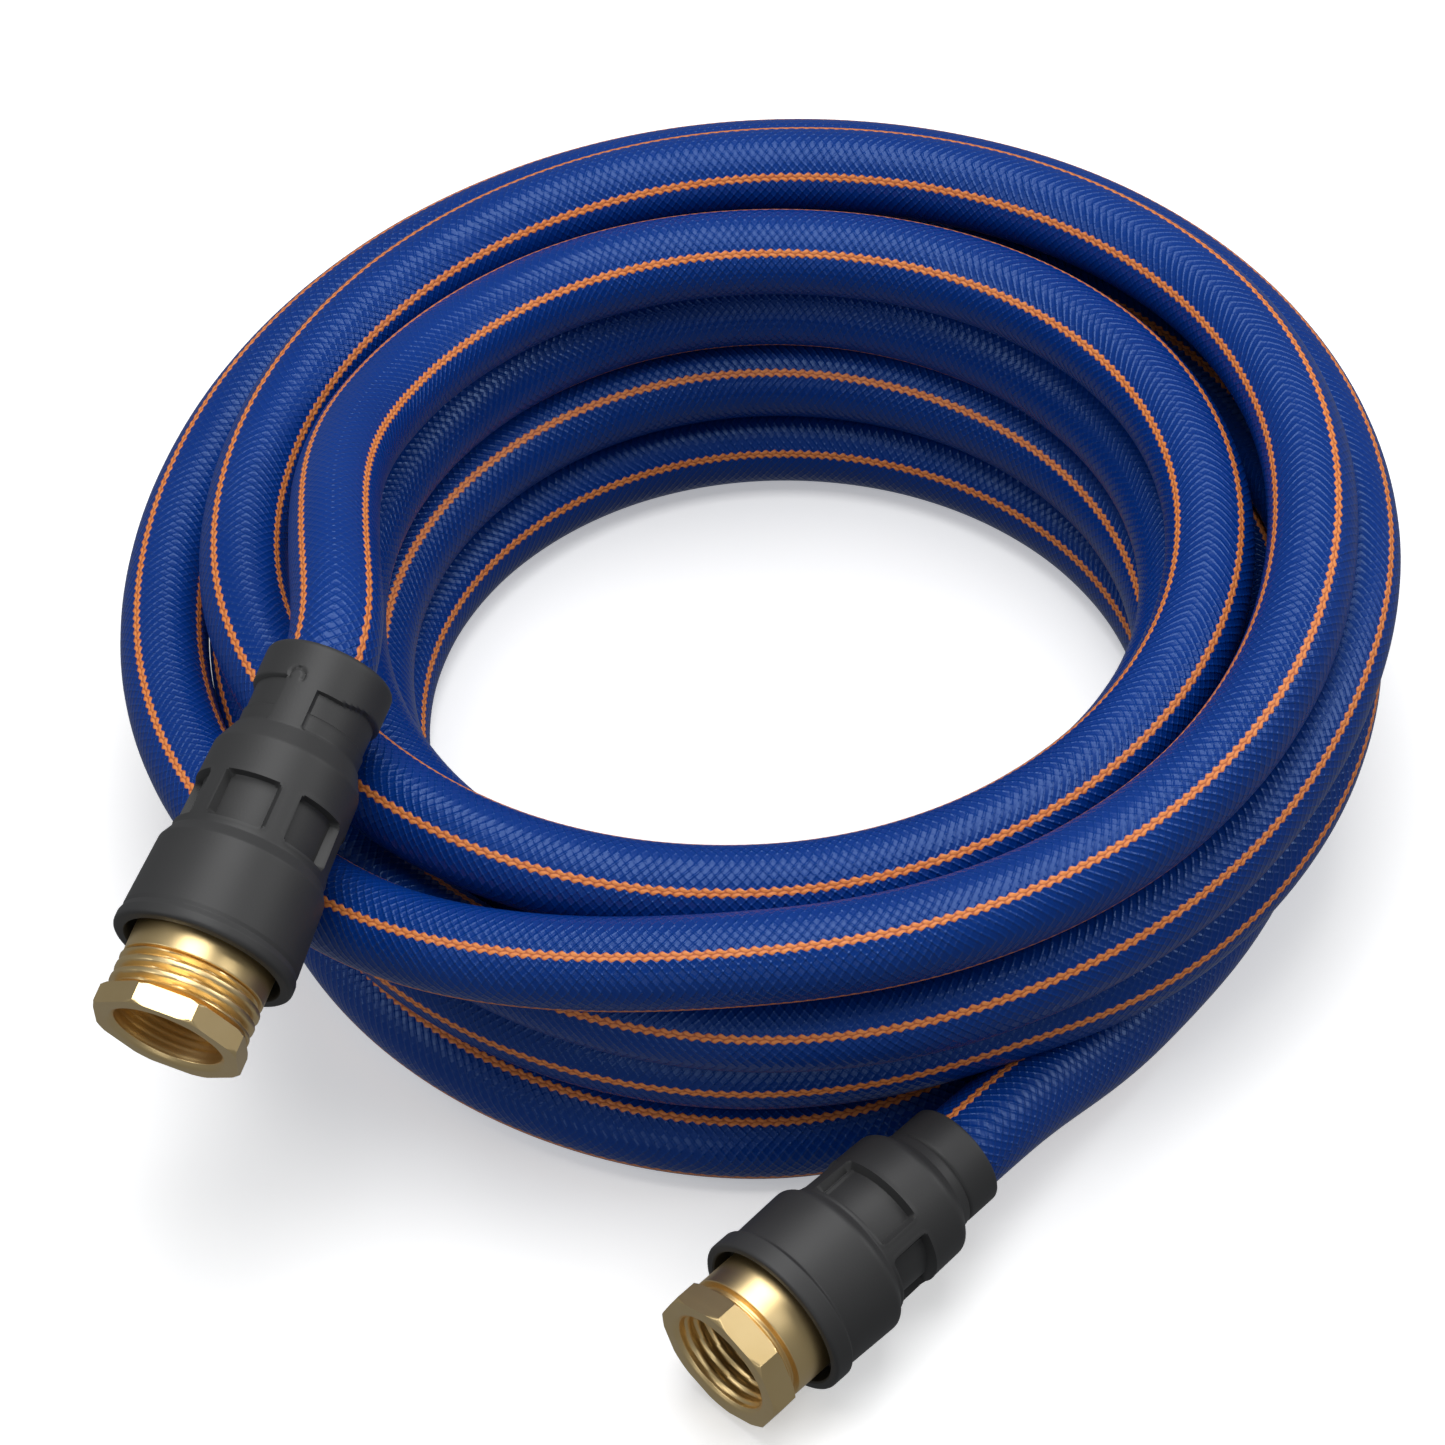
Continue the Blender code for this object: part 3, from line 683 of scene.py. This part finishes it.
def floor_material():
    """Pale matt studio floor that glows a little."""
    material, tree, shader = new_material("studio_floor")
    m = Maths(tree)
    _, _, where = map_parts(tree)
    cloud = m.noise(where, 3.0, 2.0)
    pale = m.mix(cloud, (0.90, 0.90, 0.90), (0.92, 0.92, 0.92))
    tree.links.new(pale, shader.inputs["Base Color"])
    shader.inputs["Roughness"].default_value = 0.8
    shader.inputs["Emission Color"].default_value = (1.0, 1.0, 1.0, 1.0)
    shader.inputs["Emission Strength"].default_value = 0.38
    return material


# ---------------------------------------------------------------- grips and brass


def male_grip(matrix, material):
    """The male grip with its windows, stepped collar and recess round the brass."""
    outer = outline(
        (
            (15.0, 60.5, 0),
            (17.15, 60.5, 1.2),
            (17.15, 58.4, 0.8),
            (16.7, 57.2, 0.25),
            (16.78, 56.4, 0.3),
            (16.0, 42.6, 1.4),
            (14.75, 40.2, 0.8),
            (14.05, 21.8, 2.2),
            (12.15, 17.6, 1.0),
            (12.2, 7.9, 0),
            (12.2, 0.5, 1.5),
            (9.4, 0.5, 0.5),
        ),
        0.32,
    )
    inner = outline(
        (
            (8.75, 0.9, 0),
            (8.75, 29.7, 0),
            (10.3, 29.7, 0),
            (10.3, 53.7, 0),
            (13.6, 53.7, 0),
            (13.6, 56.0, 0),
            (14.8, 56.0, 0),
            (14.8, 60.2, 0),
        ),
        2.0,
    )
    windows, start, end = MALE_WINDOWS

    def radius_at(radius, station, phi, is_outer):
        result = radius + 0.0 * phi
        for k in range(windows):
            centre = MALE_FACING - math.radians(9.0 + 30.0 + 60.0 * k)
            away = pocket(14.3, station, phi, centre, 5.45, start, end, 1.1)
            inside = 1.0 - smoothstep(-0.3, 0.08, away)
            result = np.where(is_outer, result + inside * (12.7 - result), result)
            lip = 1.0 - smoothstep(0.0, 0.6, np.abs(away - 0.3))
            result = np.where(is_outer, result + 0.08 * lip, result)
        # The neck lies lower than the collar except on two smooth bridges
        for k in range(2):
            centre = MALE_FACING - math.radians(70.5 + 180.0 * k)
            low = 8.2 + 1.4 * smoothstep(0.3, 1.0, wrapped(phi - centre))
            away = pocket(12.0, station, phi, centre, 15.6, 8.1, 17.5, 0.7)
            away = np.maximum(away, low - station)
            cut = 1.0 - smoothstep(-0.22, 0.08, away)
            depth = 0.85 - 0.32 * smoothstep(14.0, 14.3, station)
            result = np.where(is_outer, result - cut * depth, result)
            ridge = 1.0 - smoothstep(0.05, 0.35, np.abs(station - 14.2))
            result = np.where(is_outer, result + cut * 0.1 * ridge, result)
        # A small curved groove beside the first bridge
        x = 12.2 * wrapped(phi - (MALE_FACING + math.radians(27.0)))
        y = station - 7.9
        arc = np.abs(np.hypot(x, y) - 1.5)
        arc = np.where(y > 0.6, np.hypot(arc, y - 0.6), arc)
        groove = 0.32 * (1.0 - smoothstep(0.1, 0.42, arc))
        return np.where(is_outer, result - groove, result)

    return lathe("male_grip_moulded", outer, inner, GRIP_COLUMNS, radius_at, matrix, material)


def female_grip(matrix, material):
    """The female grip with its four windows, seam and recess round the nut."""
    outer = outline(
        (
            (14.8, 49.0, 0),
            (16.35, 49.0, 1.1),
            (16.35, 45.0, 0.4),
            (15.45, 44.3, 0.5),
            (15.8, 32.0, 1.8),
            (13.95, 30.2, 0.7),
            (13.45, 12.6, 2.2),
            (10.9, 10.4, 0.6),
            (10.35, 8.4, 0),
            (10.3, 0.8, 0.9),
            (9.2, 0.8, 0.3),
        ),
        0.34,
    )
    inner = outline(
        (
            (8.75, 1.2, 0),
            (8.75, 29.7, 0),
            (10.3, 29.7, 0),
            (10.3, 43.1, 0),
            (13.3, 43.1, 0),
            (13.3, 44.6, 0),
            (14.5, 44.6, 0),
            (14.5, 48.7, 0),
        ),
        2.0,
    )
    windows, start, end = FEMALE_WINDOWS

    def radius_at(radius, station, phi, is_outer):
        result = radius + 0.0 * phi
        for k in range(windows):
            centre = FEMALE_FACING - math.radians(22.4 + 45.0 + 90.0 * k)
            away = pocket(13.5, station, phi, centre, 8.9, start, end, 1.0)
            inside = 1.0 - smoothstep(-0.35, 0.12, away)
            result = np.where(is_outer, result + inside * (12.0 - result), result)
            lip = 1.0 - smoothstep(0.0, 0.6, np.abs(away - 0.3))
            result = np.where(is_outer, result + 0.08 * lip, result)
            rib = centre + math.radians(33.5)
            x = 12.5 * wrapped(phi - rib)
            bar = 1.0 - smoothstep(0.15, 0.4, np.abs(x))
            bar = bar * smoothstep(-4.0, -3.6, -np.abs(station - (start + end) / 2.0))
            result = np.where(is_outer, result + 0.5 * bar, result)
        seam = 1.0 - smoothstep(0.08, 0.32, np.abs(station - 8.0))
        return np.where(is_outer & (station < 9.5), result - 0.3 * seam, result)

    return lathe("female_grip_moulded", outer, inner, GRIP_COLUMNS, radius_at, matrix, material)


def male_fitting(matrix, material):
    """The male fitting: band, three turns of thread, eight-sided collar and open bore."""
    low, top, pitch = MALE_THREAD
    bore_low, bore_top, bore_pitch = MALE_BORE_THREAD
    outer = outline(
        (
            (11.6, 76.5, 0),
            (14.75, 76.5, 0.25),
            (14.75, 72.3, 0.2),
            (12.35, 72.2, 0.2),
            (12.35, 64.9, 0.15),
            (13.3, 64.5, 0.2),
            (13.3, 54.0, 0),
            (10.0, 54.0, 0),
            (10.0, 30.0, 0),
            (5.5, 30.0, 0),
        ),
        0.22,
    )
    inner = outline(
        (
            (5.0, 30.3, 0),
            (5.0, 57.0, 0),
            (8.0, 57.0, 0),
            (8.0, 65.4, 0.3),
            (10.2, 65.9, 0.3),
            (10.35, 75.6, 0.3),
            (11.1, 76.4, 0.2),
        ),
        0.5,
    )
    first = MALE_FACING - math.radians(10.3)

    def radius_at(radius, station, phi, is_outer):
        result = radius + 0.0 * phi
        turn = (station - low) / pitch - (phi - first) / (2.0 * math.pi)
        wave = np.abs((turn % 1.0) - 0.5) * 2.0
        crest = np.sin(0.5 * math.pi * smoothstep(0.0, 0.85, wave))
        fade = smoothstep(low - 0.2, low + 0.8, station)
        fade = fade * (1.0 - smoothstep(top - 0.9, top - 0.1, station))
        on_thread = is_outer & (station > low) & (station < top)
        result = np.where(on_thread, 12.3 + 1.25 * crest * fade, result)
        edge = np.minimum(76.5 - station, station - 72.2)
        cone = 14.05 + 1.25 * np.maximum(edge, 0.0)
        flats = np.minimum(octagon(phi, 13.55, first), cone)
        on_collar = is_outer & (station >= 72.25) & (radius > 13.4)
        result = np.where(on_collar, np.minimum(result, flats), result)
        bore = (~is_outer) & (station > bore_low) & (station < bore_top)
        inner_turn = (station - bore_low) / bore_pitch - phi / (2.0 * math.pi)
        inner_wave = smoothstep(0.25, 0.8, np.abs((inner_turn % 1.0) - 0.5) * 2.0)
        return np.where(bore, result - 0.14 * inner_wave, result)

    return lathe(
        "male_fitting_turned", outer, inner, MALE_FITTING_COLUMNS, radius_at, matrix, material, first
    )


def swivel_nut(matrix, material):
    """The nut: band, groove, eight-sided end with chamfered corners, and threaded socket."""
    outer = outline(
        (
            (11.4, 62.5, 0),
            (14.7, 62.5, 0.2),
            (14.7, 57.3, 0.2),
            (11.6, 57.2, 0.3),
            (11.6, 56.5, 0.15),
            (12.0, 56.3, 0.15),
            (12.0, 56.0, 0.15),
            (11.5, 55.8, 0.15),
            (11.5, 55.2, 0.2),
            (12.95, 55.0, 0.25),
            (12.9, 43.6, 0.3),
            (8.6, 43.6, 0),
        ),
        0.22,
    )
    inner = outline(
        (
            (8.0, 43.9, 0),
            (8.0, 45.9, 0),
            (10.3, 45.9, 0),
            (10.3, 61.8, 0.2),
            (10.9, 62.4, 0.2),
        ),
        0.3,
    )
    first = FEMALE_FACING - math.radians(21.0)
    low, top, pitch = NUT_THREAD

    def radius_at(radius, station, phi, is_outer):
        result = radius + 0.0 * phi
        edge = np.minimum((62.5 - station) * 1.3, (station - 57.2) * 1.8)
        cone = 13.75 + np.maximum(edge, 0.0)
        flats = np.minimum(octagon(phi, 13.45, first), cone)
        on_nut = is_outer & (station >= 57.25) & (radius > 13.2)
        result = np.where(on_nut, np.minimum(result, flats), result)
        turn = (station - (low + 0.5)) / pitch - phi / (2.0 * math.pi)
        wave = smoothstep(0.25, 0.75, np.abs((turn % 1.0) - 0.5) * 2.0)
        fade = smoothstep(low, low + 1.0, station)
        fade = fade * (1.0 - smoothstep(top - 1.0, top - 0.2, station))
        on_thread = (~is_outer) & (station > low) & (station < top)
        return np.where(on_thread, result - 0.5 * wave * fade, result)

    return lathe(
        "swivel_nut_turned", outer, inner, NUT_COLUMNS, radius_at, matrix, material, first
    )


# ---------------------------------------------------------------- studio


def add_camera():
    """The photograph's viewpoint."""
    data = bpy.data.cameras.new("camera")
    data.sensor_width = 36.0
    data.lens = CAMERA_LENS
    data.clip_start = 0.05
    camera = bpy.data.objects.new("camera", data)
    bpy.context.scene.collection.objects.link(camera)
    camera.matrix_world = (
        Matrix.Translation(Vector(COIL_CENTRE) + CAMERA_PLACE)
        @ Matrix.Rotation(math.pi / 2.0 - CAMERA_DOWN, 4, "X")
        @ Matrix.Rotation(CAMERA_ROLL, 4, "Z")
    )
    bpy.context.scene.camera = camera


def add_area(name, place, aim, size, watts):
    """A white soft box that points at its aim."""
    data = bpy.data.lights.new(name, "AREA")
    data.energy = watts
    data.shape = "RECTANGLE"
    data.size, data.size_y = size
    light = bpy.data.objects.new(name, data)
    bpy.context.scene.collection.objects.link(light)
    way = Vector(aim) - Vector(place)
    turned = way.to_track_quat("-Z", "Y").to_matrix().to_4x4()
    light.matrix_world = Matrix.Translation(Vector(place)) @ turned


def add_studio():
    """Floor, soft boxes and sky."""
    mesh = bpy.data.meshes.new("floor")
    corners = [(x * FLOOR_REACH, y * FLOOR_REACH, 0.0) for x, y in ((-1, -1), (1, -1), (1, 1), (-1, 1))]
    mesh.from_pydata(corners, [], [(0, 1, 2, 3)])
    mesh.materials.append(floor_material())
    floor = bpy.data.objects.new("floor", mesh)
    bpy.context.scene.collection.objects.link(floor)
    floor.visible_diffuse = False
    floor.visible_glossy = False
    for box in SOFT_BOXES:
        add_area(*box)
    world = bpy.data.worlds.new("studio_sky")
    world.use_nodes = True
    sky = world.node_tree.nodes["Background"]
    sky.inputs["Color"].default_value = (0.93, 0.96, 1.0, 1.0)
    sky.inputs["Strength"].default_value = 0.2
    bpy.context.scene.world = world
    bpy.context.scene.view_settings.view_transform = "Standard"
    bpy.context.scene.view_settings.look = "None"


# ---------------------------------------------------------------- the whole


def main():
    """Load the frame, build every piece and the studio, and finish."""
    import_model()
    add_camera()
    female = end_matrix(FEMALE_MOUTH, FEMALE_HEADING, FEMALE_DIP)
    male = end_matrix(MALE_MOUTH, MALE_HEADING, MALE_DIP)
    female_axis = np.array(female.col[2][:3])
    male_axis = np.array(male.col[2][:3])
    line = settle(first_line(female_axis, male_axis))
    line = smooth_line(resample(smooth_line(line, 2), RING_SPACING), 6)
    hose = build_hose(line, hose_material())
    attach(hose, "hose")
    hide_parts("hose_coil", "hose_lead_female", "hose_tail_male")
    plastic = grip_material()
    brass = brass_material()
    for piece, node, slot, body in (
        (male_grip(male, plastic), "male_grip", "grip", "hose"),
        (male_fitting(male, brass), "male_fitting", "brass", "hose"),
        (female_grip(female, plastic), "female_grip", "grip", "hose"),
        (swivel_nut(female, brass), "swivel_nut", "brass", "nut"),
    ):
        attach(piece, body)
        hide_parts(node)
    for node, material in (("female_tailpiece", brass), ("hose_washer", washer_material())):
        for slot in bpy.data.objects[node].material_slots:
            slot.material = material
    add_studio()


main()
